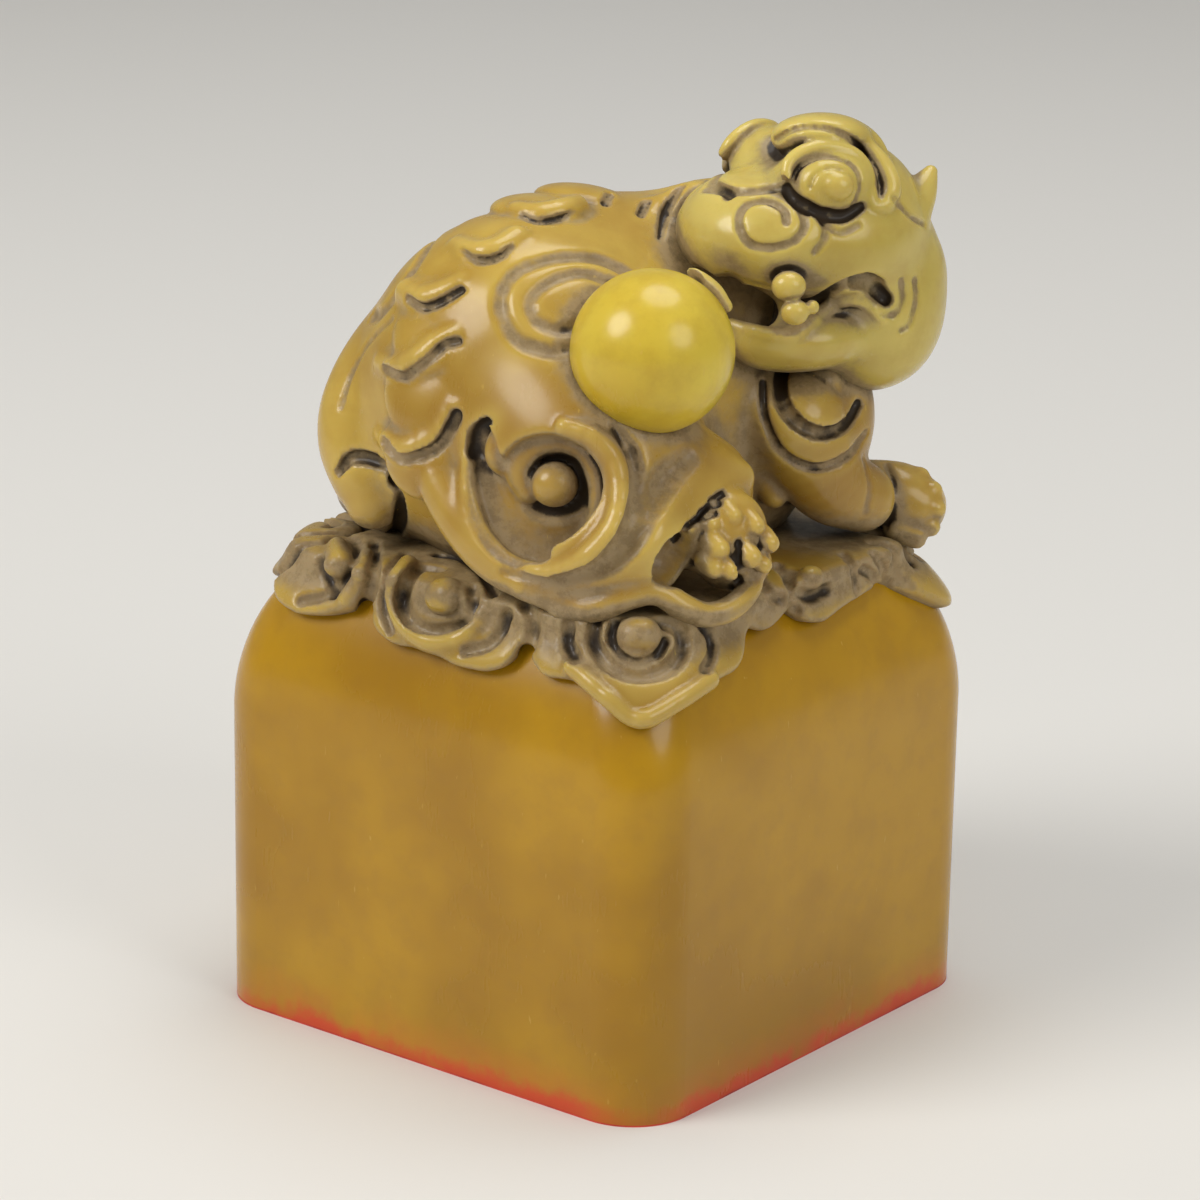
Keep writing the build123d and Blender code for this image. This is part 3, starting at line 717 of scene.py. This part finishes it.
# hind foot: a small rounded paw with folded skin and blunt toes
foot = Side(body_clay, (13.6, -7.1, 31.9))
foot.egg((-0.3, 0, -1.5), (2.9, 2.5, 2), 0.25)
foot.egg((0.8, -1.7, -2), (2.1, 1.6, 1.8), 0.2)
for across, up, out, size in ((-0.6, 0.3, -0.2, 0.75), (0.6, 0.8, -0.3, 0.6), (1.8, 0.3, -0.6, 0.65),
        (-0.2, -1, 0.1, 0.8), (-0.4, -2, 0.2, 0.7), (0.5, -2.2, 0.2, 0.55), (1.6, -1.4, -0.3, 0.7),
        (2.6, -0.6, -1, 0.65), (2.3, -1.8, -0.7, 0.55)):
    foot.rope([(across - 0.3, up + 0.3, out), (across + 0.1, up - 0.1, out + 0.35)], [size, size * 0.85],
        0.08)
foot.groove([(1, -0.7), (1.05, -2.7)], 0.22, -0.1, 0.08)
for row in (0, 0.55, 1.1):
    foot.groove([(-2.5 + row, -0.6 + row), (-1.4 + row * 0.8, 0.4 + row), (-0.3 + row * 0.4, 0.8 + row)],
        0.2, -0.08, 0.08)

# tail: a thick lock of hair that falls over the far hip and curls at its end
tail = Side(body_clay, (-6.5, -12.7, 31.3))
tail.rope([(2.2, 9.6, -2.6), (0.6, 7.4, -2.6), (-0.2, 5.2, -2.4), (-0.4, 3.2, -2.2), (0, 1.2, -1.8),
    (0.3, 0.2, -1.4)], [1.7, 2.3, 2.7, 2.7, 2.3, 1.8], 0.8)
tail.egg((0.1, -0.4, -1.2), (1.5, 1.5, 1.4), 0.25)
tail.groove([(-1.8, 1.2), (-1.1, 2), (-0.1, 2), (0.8, 1.6), (1.4, 0.8)], [0.25, 0.4, 0.42, 0.42, 0.35],
    -0.1, 0.12)
tail.groove([(1.3, 0.9), (1.75, 0), (1.7, -1.2), (1.2, -2.1), (0.4, -2.6)], [0.3, 0.4, 0.42, 0.4, 0.3],
    -0.2, 0.12)
tail.groove([(1.2, 9.6), (-0.2, 8.4), (-1.2, 6.6), (-1.7, 4.8)], 0.16, 0.05, 0.2)

# hip: an open curl engraved on the smooth stone over the thigh
hip = Side(body_clay, (4.5, -9.8, 43.5))
hip.groove([(4.4, 1.2), (4, 1.7), (2.8, 2.4), (1.4, 2.7), (-0.5, 2.5), (-2.4, 1.7), (-3.2, 0.4), (-3, -1),
    (-2.1, -2.2), (-0.4, -2.7), (0.6, -2.5)], 0.4, 0.16, 0.3)
hip.groove([(3, 1.2), (1.4, 1.7), (0, 1.4), (-1.2, 0.6), (-1.6, -0.3), (-1, -1.2), (0.3, -1.5),
    (1.2, -1.2)], 0.32, 0.14, 0.3)
far_hip = hip.mirrored((-2, 0, 0), (1, 0, 0))
far_hip.groove([(2.8, 2.4), (1.4, 2.7), (-0.5, 2.5), (-2.4, 1.7), (-3.2, 0.4), (-3, -1), (-2.1, -2.2),
    (-0.4, -2.7)], 0.4, 0.16, 0.3)


def plate(clay, place, out, down, radii):
    """A scale laid on the skin at a place, with its lower end lifted."""
    tilt, blend = 0.22, 0.06
    out, down = np.asarray(out, float), np.asarray(down, float)
    out = out / np.linalg.norm(out)
    down = down - (down @ out) * out
    down = down / np.linalg.norm(down)
    across = np.cross(out, down)
    lifted = down + tilt * out
    lifted = lifted / np.linalg.norm(lifted)
    egg(clay, place, radii, (lifted, across, np.cross(lifted, across)), blend)


# spine: overlapping scales from the neck down to the root of the tail, each with a raised lower edge
spine = (((-1.8, 0.2, 46.6), (0, 0, 1), (2.9, 2.9, 1)), ((-1.9, -3.4, 46.5), (0, -0.15, 1), (2.9, 3, 1)),
    ((-2, -6.8, 45.6), (0, -0.4, 0.9), (2.9, 3.1, 1)), ((-2, -9.8, 43.8), (0.1, -0.7, 0.7),
    (2.9, 3.1, 1.1)), ((-1.9, -11.9, 41.3), (0.1, -0.9, 0.5), (2.9, 3, 1.1)),
    ((-1.7, -13.2, 38.2), (0.15, -1, 0.2), (2.9, 2.8, 1.1)), ((-1.5, -13.7, 35), (0.2, -1, 0),
    (2.8, 2.6, 1.1)))
for (place, out, radii), after in zip(spine, [row[0] for row in spine[1:]] + [(-1.2, -14.2, 31)]):
    plate(body_clay, place, out, np.array(after) - np.array(place), radii)
rump = Side(body_clay, (-2.6, -13.5, 41.4))
for lip in ([(-1.9, -1.6), (-0.6, -2), (0.5, -1.5), (1.4, -0.7), (2.4, -0.1)],
        [(2.5, 2.7), (1.4, 2), (0.4, 1.8), (-0.5, 2.3)],
        [(-1.8, -5.5), (-0.7, -6.4), (0.7, -6.1), (1.6, -5.5), (2.4, -4.1)],
        [(2.2, 4.9), (3.2, 4.3), (4.4, 4.4), (5.4, 5.2)], [(5.4, 7), (6.4, 6.6), (7.6, 6.8), (8.6, 7.3)]):
    rump.rib(lip, [0.4, 0.75, 0.8, 0.7, 0.4][:len(lip)], -0.35, 0.5)
rump.groove([(-1.8, -2), (-0.6, -2.5), (0.2, -2.1), (1, -1.5), (1.7, -0.8), (2.4, -0.6)], 0.3, -0.02, 0.1)
rump.groove([(2.4, 4.5), (3.3, 3.9), (4.4, 4), (5.3, 4.7)], [0.15, 0.22, 0.25, 0.15], 0, 0.1)
rump.groove([(5.6, 6.6), (6.5, 6.2), (7.6, 6.4), (8.5, 6.9)], [0.12, 0.2, 0.2, 0.12], 0, 0.1)
rump.groove([(2.5, 2.2), (1.3, 1.5), (0.4, 1.3), (-0.5, 1.8)], 0.28, -0.02, 0.1)
rump.groove([(-1.8, -6), (-0.7, -7), (0.7, -6.7), (1.5, -6.2), (2, -5.4), (2.4, -4.6)], 0.38, -0.05, 0.1)

# hair that falls back from the neck in waves
for lock in (((1.5, 1.2, 46), (3.6, 3.4, 46.9), (6, 5.4, 47.2)),
        ((0.2, 3.8, 46), (2.4, 6.2, 46.4), (5.4, 8.2, 46.4)),
        ((-0.6, 7, 44.2), (2.2, 9.2, 44.4), (5.8, 10.6, 44.2)),
        ((-0.6, 9.8, 41.6), (2.8, 11.6, 41.8), (6.6, 12, 41.6)),
        ((0, 11.8, 38.4), (3.2, 12.8, 38.8), (7, 12.6, 38.8))):
    rope(body_clay, lock, [0.6, 1.15, 0.5], 0.7)

nape = Side(body_clay, (11.3, -0.1, 47.5))
for strand in ([(-4.2, 3), (-5, 2), (-5.6, 0.8), (-5.9, -0.8)], [(-5.4, 3), (-6.4, 2), (-7, 0.6)],
        [(-7.4, 2.8), (-8.4, 2.2), (-9, 1.2)]):
    nape.groove(strand, [0.16, 0.26, 0.26, 0.16][:len(strand)], -0.02, 0.12)

# forelegs: each bends forward from a shoulder curl
for leg in ([(10, 4.6, 35), (11.2, 6.2, 31.6), (12, 8.4, 30.2)],
            [(-10, 4.6, 35), (-11.6, 6.2, 31.6), (-12.4, 8.4, 30.2)]):
    rope(body_clay, leg, [3, 2.4, 2], 1)
shoulder = Side(body_clay, (11.3, 5.1, 37.3))
far_shoulder = Side(body_clay, (-12, 5, 37), (-0.95, -0.1, 0.25), hand=-1)


def shoulder_curl(side):
    """A fat roll of hair wound round a bead."""
    side.egg((-0.3, -1.6, -3.3), (3.6, 4.9, 3.2), 0.5)
    side.groove([(1.6, 1.6), (0.2, 2.2), (-1.2, 1.9), (-2.1, 0.7), (-2.2, -0.9), (-1.4, -2.2), (0, -2.8),
        (1.4, -2.3), (2.2, -1)], [0.3, 0.36, 0.4, 0.42, 0.45, 0.45, 0.42, 0.36, 0.3], -0.2, 0.15)
    side.groove([(-3.2, 0), (-3.1, -2), (-2.1, -3.9), (-0.2, -4.7), (1.6, -4), (2.7, -2.6)],
        [0.2, 0.26, 0.3, 0.3, 0.26, 0.2], -0.05, 0.15)
    side.egg((0, 0, -1), (1.45, 1.45, 1.3), 0.15)
    side.rope([(-4.6, -1.6, -2.4), (-4.2, -3.4, -2), (-3.3, -5, -1.8), (-2.4, -6.2, -1.8)], 0.75, 0.35)


shoulder_curl(shoulder)
shoulder_curl(far_shoulder)


def fore_paw(side):
    """A short broad paw with knuckled toes that hang over the edge of the cloud."""
    side.rope([(-4.4, 1, -1.6), (-2.4, 0.8, -1.6), (-0.4, 0.5, -1.7), (0.6, 0, -1.7)], [1.6, 1.8, 2, 1.9],
        0.6)
    for across, up, out in ((0.9, 1.6, -1.4), (1.6, 0.8, -0.9), (1.8, -0.2, -0.7), (1.5, -1.2, -0.8),
            (0.7, -1.9, -0.6)):
        side.rope([(across - 1.1, up * 0.8 + 0.1, out - 0.2), (across, up, out)], [0.8, 0.62], 0.12)
    side.groove([(-1.2, 2.6), (-0.7, 1.2), (-0.7, -0.2), (-1.2, -1.6)], 0.2, 0.05, 0.2)
    side.groove([(-2.6, 2.4), (-2.2, 1), (-2.4, -0.6)], 0.16, 0.05, 0.2)


paw = Side(body_clay, (13.6, 10.65, 29.6))
far_paw = Side(body_clay, (-13.4, 10.9, 29.4), (-0.9, 0.2, 0.28), hand=-1)
fore_paw(paw)
fore_paw(far_paw)

# the far hind foot lies under the far thigh
far_foot = Side(body_clay, (-14.2, -3.4, 29.4), (-0.93, -0.2, 0.25), hand=-1)
far_foot.egg((0, 0, -1.8), (2.9, 1.9, 1.7), 0.3)
for across, up in ((-0.6, -0.4), (0.6, -0.2), (1.7, -0.1), (0.1, 0.9), (1.2, 0.9)):
    far_foot.rope([(across - 0.4, up + 0.2, -0.7), (across + 0.2, up - 0.1, -0.4)], 0.62, 0.08)

# nothing of the beast hangs lower than the cloud it lies on, and the pearl has its own seat
x, y, z = body_clay.everywhere()
cloud_floor, pearl_seat = 26.6, 0.12
body_clay.clear(z - cloud_floor)
body_clay.clear(pearl_distance(x, y, z) + pearl_seat)

beast_stone = stone_material("beast_stone", colour(200, 168, 74), colour(158, 120, 36), brown_below=0.041)
body = skin(body_clay, "beast_body_carving", beast_stone)
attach(body, "root")
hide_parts("beast_trunk", "chest", "near_haunch", "far_haunch", "near_shoulder", "far_shoulder",
    "near_hind_foot", "far_hind_foot", "near_foreleg", "far_foreleg", "near_fore_paw", "far_fore_paw",
    "tail_lock", "tail_lobe", "side_lock", "near_haunch_volute", "far_haunch_volute",
    "near_shoulder_volute", "far_shoulder_volute", "near_shank", "neck_mane", "spine_scales")


# Beast head: turned back over its shoulder to look at the pearl; broad snout with curled nostrils, bulging
# eyes under rolled brows, an open mouth with two rounded fangs, all cut from the same stone.

head_place = np.array((9.8, 7.9, 45.96))
head_side = np.array((0.927, -0.375, 0))
head_back = np.array((0.375, 0.927, 0))
head_axes = np.array([head_side, head_back, (0, 0, 1)])


def on_head(side, back, up):
    return tuple(head_place + side * head_side + back * head_back + np.array((0, 0, up)))


head_clay = Clay((2.4, -3.6, 35.4), (16.5, 16.3, 53.6), 0.13)
for place, radii, blend in (((0, 0, 0.3), (5.4, 5, 4.6), 0), ((0, 2.2, -3.6), (4.9, 4.7, 5.2), 1.5),
        ((0, -3.9, -0.2), (5.5, 5.4, 3.6), 1.8), ((0, -1, -0.6), (5.9, 4.6, 3.2), 1.5),
        ((0.2, -2.9, -5.8), (4.9, 4.8, 2.3), 0.8), ((0.8, 2, -5.8), (4.2, 4, 3.9), 1.2)):
    egg(head_clay, on_head(*place), radii, head_axes, blend)

near_cheek = Side(head_clay, (11.3, -0.1, 47.5))
far_cheek = near_cheek.mirrored(head_place, head_side)
for cheek in (near_cheek, far_cheek):
    # mouth: wide and dark at the front, a narrow wave along the side, open again at the curled corner
    mouth = ((-4.2, -2.6), (-2.4, -3.8), (-1, -4.4), (0.3, -4.7), (1.3, -5), (2.3, -4.4), (3.3, -3.8),
        (4.4, -3.2), (5.5, -3.1), (6.6, -3.9))
    cheek.rib(mouth, [0.6, 1.1, 1.2, 1.1, 0.62, 0.45, 0.4, 0.42, 0.6, 0.42], -0.1, 0.2, cut=True)
    for out in (-0.6, -2.2, -3.8):
        cheek.rope([(-4.4, -3, out), (-2.4, -4, out), (-0.8, -4.5, out), (0.6, -4.7, out)],
            [0.8, 1.15, 1.25, 1.1], 0.2, cut=True)
    cheek.rope([(4.9, -3.1, -3.2), (5.7, -3.1, -3.6), (6.4, -3.6, -4.2)], [0.5, 0.6, 0.4], 0.1, cut=True)
    # rolled lips
    cheek.rib([(-1.9, -5.5), (-0.8, -5.8), (0.3, -6.1), (1.4, -6.1), (2.3, -5.5), (3, -4.8), (3.9, -4.2),
        (4.8, -4), (5.6, -4.2), (6.5, -4.9)], 0.36, -0.05, 0.3)
    # nostril curl
    cheek.groove([(0.9, -0.1), (0.8, 0.5), (0.3, 0.9), (-0.5, 1.1), (-1.3, 0.8), (-1.7, 0), (-1.4, -1),
        (-0.7, -1.5), (0.5, -1.5), (1.4, -1.1), (1.9, -0.4), (1.8, 0.4), (1.4, 0.9)], 0.24, 0.02, 0.15)
    cheek.groove([(2.5, 0.7), (3, -0.2), (3, -1), (2.5, -1.7)], 0.2, 0.06, 0.2)
    cheek.groove([(-3.4, 2), (-1.7, 1.7), (0, 1.8), (1.1, 2)], 0.3, 0.05, 0.3)
    # brow, lids and eyeball
    cheek.egg((3.1, 2.3, -3.2), (2.9, 2.2, 2.6), 0.5)
    cheek.rope([(0.9, 2.1, -1), (1, 3.1, -1.2), (1.8, 3.8, -1.4), (3, 4.1, -1.6), (4.3, 3.9, -1.9),
        (5.1, 3.3, -2.2), (5.4, 2.4, -2.3), (5.2, 1.5, -2.1)], [0.3, 0.38, 0.42, 0.42, 0.42, 0.4, 0.38,
        0.35], 0.22)
    cheek.egg((3.1, 2, -1.8), (1.95, 1.6, 1.5), 0.12)
    cheek.groove([(1.1, 1.9), (1.6, 2.9), (2.7, 3.5), (3.9, 3.4), (4.7, 2.8), (4.9, 1.9), (4.6, 1)], 0.16,
        0, 0.1)
    cheek.groove([(2.1, 1.8), (2.5, 2.6), (3.5, 2.9), (4.3, 2.4), (4.4, 1.5)], 0.14, 0.05, 0.1)
    cheek.egg((3.6, 1.9, -0.8), (0.95, 0.85, 0.7), 0.08)
    cheek.groove([(0.7, 2.2), (1.3, 1.2), (2.6, 0.5), (4, 0.3), (5, 0.9)], [0.25, 0.4, 0.42, 0.38, 0.25],
        -0.05, 0.12)
    cheek.groove([(2.8, 0), (3.9, -0.6), (4.9, -0.1)], 0.18, 0.06, 0.15)
    # curl of hair at the temple, and the ear behind it
    cheek.rope([(5.3, 4.4, -3.2), (6.2, 3.3, -3), (6.7, 2.2, -2.9), (6.4, 1.2, -2.7), (5.7, 1, -2.4),
        (5.5, 1.7, -2.3)], [0.5, 0.6, 0.6, 0.55, 0.5, 0.45], 0.15)
    cheek.rope([(7.9, 0.9, -6.6), (8.6, 2.2, -6.8), (9.2, 3.4, -7)], [1.3, 0.95, 0.4], 0.25)
    cheek.groove([(6.8, 1.5), (7.9, 0.6), (8.8, 0.3)], 0.16, 0, 0.1)
    # fangs
    cheek.egg((1.1, -3.6, -0.7), (0.95, 0.85, 0.8), 0.08)
    cheek.egg((1.45, -5, -0.7), (0.78, 0.72, 0.75), 0.08)
    cheek.egg((2.4, -4.7, -0.9), (0.4, 0.4, 0.5), 0.08)
    # folds at the corner of the mouth
    cheek.groove([(7.5, -2.9), (7.6, -3.9), (7.2, -4.7), (6.5, -4.8)], 0.18, 0.05, 0.15)
    cheek.groove([(8.3, -2.8), (8.4, -3.8), (8.1, -5.2), (7.6, -5.6)], 0.18, 0.05, 0.15)

# hair rolled over the forehead, in two locks, and the tongue that lies over the lower lip
near_cheek.egg((2.9, 4.9, -3.9), (2.8, 1.35, 2.6), 0.25)
near_cheek.rope([(4, 5.2, -4.2), (5.2, 4.7, -4.3), (5.9, 3.9, -4.4), (6.1, 3.2, -4.4)],
    [0.9, 0.9, 0.8, 0.6], 0.25)
near_cheek.groove([(0.3, 4.6), (1.3, 5.1), (2.4, 5.2), (3.5, 5), (4.6, 4.5), (5.2, 3.8)], 0.2, 0, 0.1)
near_cheek.rope([(-5.4, -2.9, 0.6), (-4.1, -3.2, 0.4), (-3, -3.9, 0.2), (-2.3, -4.8, 0)],
    [0.3, 0.42, 0.42, 0.35], 0.1)
near_cheek.rope([(-4.6, -3.6, 0.2), (-3.6, -4.2, 0.1), (-2.9, -5.1, -0.1)], [0.25, 0.32, 0.28], 0.1)
pearl_touch = 0.05
head_clay.clear(pearl_distance(*head_clay.everywhere()) + pearl_touch)

head_stone = stone_material("head_stone", colour(206, 186, 98), colour(172, 148, 58))
head = skin(head_clay, "beast_head_carving", head_stone)
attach(head, "root")
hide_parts("skull", "muzzle", "jowl", "lower_jaw", "tongue", "near_fangs", "nostril_curls", "eyes",
    "brows", "temple_curls", "ears", "crest")


# Dust and painted shade: fine brown dust and old ink worked into every hollow of the carving, with shade
# painted in by the same measure, thickest where the pieces of the carving crowd together and shade each
# other, such as under the jaw, round the pearl and beside the feet.

def room_at(points):
    """How far the stone is from each point, in mm, over all the carved pieces."""
    gaps = [pearl_distance(*points.T), cushion_distance(*points.T)]
    for clay in (collar_clay, body_clay, head_clay):
        top = clay.low + (np.array(clay.depth.shape) - 1) * clay.cell
        within = np.all((points > clay.low) & (points < top), axis=1)
        open_air = 4.0
        gap = np.full(len(points), open_air)
        gap[within] = clay.depth_at(points[within])
        gaps.append(gap)
    return np.min(gaps, axis=0)


def rows_of(values, name):
    """The x, y and z of each of a mesh's values."""
    numbers = np.empty(len(values) * 3)
    values.foreach_get(name, numbers)
    return numbers.reshape(-1, 3)


# the hollow layer is ambient occlusion over all the carved pieces; it lays both dust and painted shade
for piece, occlusion_gain in ((collar, 1.15), (body, 1.5), (head, 1.5)):
    mesh = piece.data
    places = rows_of(mesh.vertices, "co") / MM
    normals = rows_of(mesh.vertex_normals, "vector")
    occlusion_shade = np.zeros(len(places))
    for step, weight in ((0.5, 0.30), (1.1, 0.30), (2.0, 0.25), (3.2, 0.15)):
        room = np.clip(room_at(places + normals * step), 0, step)
        occlusion_shade += weight * (1 - room / step)
    write_layer(mesh, "hollow", np.clip(occlusion_shade * occlusion_gain, 0, 1))


# Table and light: a sheet of matt pale card, laid flat and bent up into a wall behind the stone, with
# soft round lamps to the left, to the right and above.

def floor_material():
    material = bpy.data.materials.new("pale_floor")
    material.use_nodes = True
    shader = material.node_tree.nodes["Principled BSDF"]
    shader.inputs["Base Color"].default_value = colour(226, 224, 219)
    shader.inputs["Roughness"].default_value = 0.6
    return material


def backdrop():
    """A floor that bends up into a wall, as one smooth sheet."""
    front_edge, bend_starts, bend_radius, wall_top, half_width = -1.2, 0.9, 0.5, 1.6, 2.0
    facing = math.radians(38)
    angles = [math.radians(90 * step / 24) for step in range(25)]
    profile = [(front_edge, 0.0)] + [
        (bend_starts + bend_radius * math.sin(angle), bend_radius - bend_radius * math.cos(angle))
        for angle in angles] + [(bend_starts + bend_radius, wall_top)]
    across = (math.cos(facing), math.sin(facing))
    points, faces = [], []
    for along, height in profile:
        for side in (-half_width, half_width):
            points.append((across[0] * side - across[1] * along, across[1] * side + across[0] * along,
                height))
    for i in range(len(profile) - 1):
        faces.append((2 * i, 2 * i + 1, 2 * i + 3, 2 * i + 2))
    mesh = bpy.data.meshes.new("table")
    mesh.from_pydata(points, [], faces)
    mesh.polygons.foreach_set("use_smooth", [True] * len(faces))
    mesh.materials.append(floor_material())
    return put_in_scene("table", mesh)


backdrop()


def lamp(name, place, size, power, tint=(1, 1, 1)):
    light = bpy.data.lights.new(name, "AREA")
    light.shape = "DISK"
    light.size = size
    light.energy = power
    light.color = tint
    holder = put_in_scene(name, light)
    holder.location = place
    aimed_height = 0.026
    way = Vector((0, 0, aimed_height)) - Vector(place)
    holder.rotation_euler = way.to_track_quat("-Z", "Y").to_euler()


lamp("soft_lamp_left", (-0.20, -0.42, 0.42), 0.34, 2.1, (1.0, 0.98, 0.95))
lamp("soft_lamp_right", (0.52, -0.06, 0.34), 0.34, 0.9, (1.0, 0.98, 0.95))
lamp("soft_lamp_above", (0.02, 0.10, 0.60), 0.40, 1.5)
world = bpy.data.worlds.new("soft_room")
world.use_nodes = True
room_light = world.node_tree.nodes["Background"].inputs
room_light["Color"].default_value = (1, 1, 1, 1)
room_light["Strength"].default_value = 0.28
bpy.context.scene.world = world
bpy.context.scene.view_settings.view_transform = "Standard"

# Camera: a long lens, 38 degrees round to the right of the front and 17 degrees above the stone, aimed
# where the beast lies on its cloud.
turn = math.radians(38.0555)
tilt = math.radians(16.8013)
roll = math.radians(-0.9491)
reach = 0.240347
right = Vector((math.cos(turn), math.sin(turn), 0))
back = Vector((math.sin(turn) * math.cos(tilt), -math.cos(turn) * math.cos(tilt), math.sin(tilt)))
up = back.cross(right)
beast_foot, shift_right, shift_up = 0.028, -0.0000573, -0.0042172
aim = Vector((0, 0, beast_foot)) + right * shift_right + up * shift_up
lens = bpy.data.cameras.new("camera")
lens.sensor_width = 36
lens.lens = 126
lens.clip_start = 0.01
camera = put_in_scene("camera", lens)
level_right = right * math.cos(roll) - up * math.sin(roll)
level_up = right * math.sin(roll) + up * math.cos(roll)
turned_to = Matrix((level_right, level_up, back)).transposed()
camera.matrix_world = Matrix.Translation(aim + back * reach) @ turned_to.to_4x4()
bpy.context.scene.camera = camera
